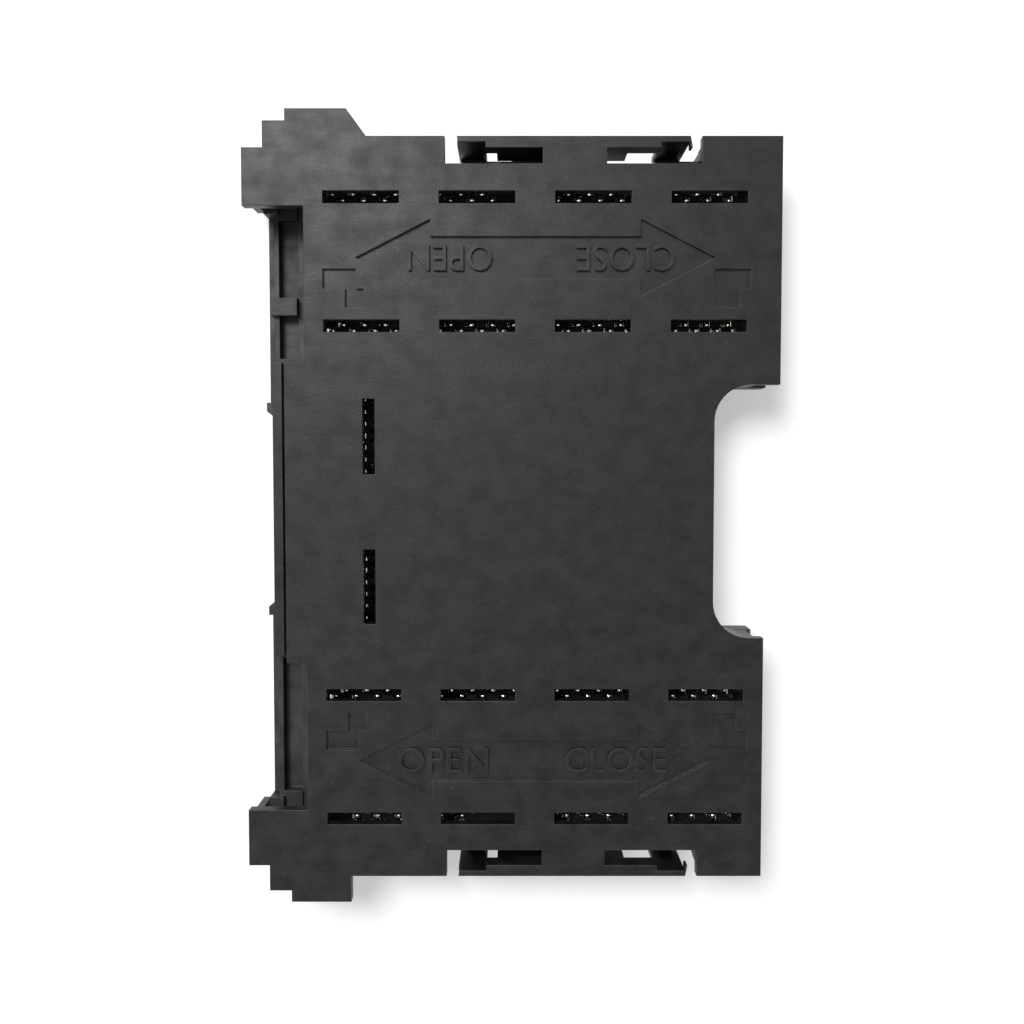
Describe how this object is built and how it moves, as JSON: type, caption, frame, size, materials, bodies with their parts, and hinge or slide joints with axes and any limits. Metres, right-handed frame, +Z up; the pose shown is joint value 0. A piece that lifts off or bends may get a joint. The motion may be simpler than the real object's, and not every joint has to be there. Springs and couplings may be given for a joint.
{
  "type": "processor socket half with cover",
  "caption": "Half of a ball-grid processor socket: a flat, notched plastic housing with a field of solder balls below and a slotted pick-and-place cover that slides and latches on top.",
  "frame": {"origin": "middle of the ball field on the board: the bottom centre of the whole part", "axes": "+X from the closed end towards the deep notch, the way the cover slides shut; +Y along the long side; +Z up from the board"},
  "size_m": [0.041, 0.0612, 0.007],
  "materials": {
    "housing_plastic": "black glass-filled moulding, fine matte grain",
    "cover_plastic": "black glass-filled moulding, satin with faint flow marks",
    "solder": "bright tin solder",
    "contact_metal": "thin gold plating on copper alloy"
  },
  "bodies": {
    "base": {"housing": "housing_plastic", "solder_balls": "solder", "contacts": "contact_metal"},
    "lid": {"cover": "cover_plastic"}
  },
  "joints": [
    {"name": "cover_slide", "type": "slide", "parent": "base", "child": "lid", "axis": [1, 0, 0], "range_m": [-0.0015, 0]}
  ]
}
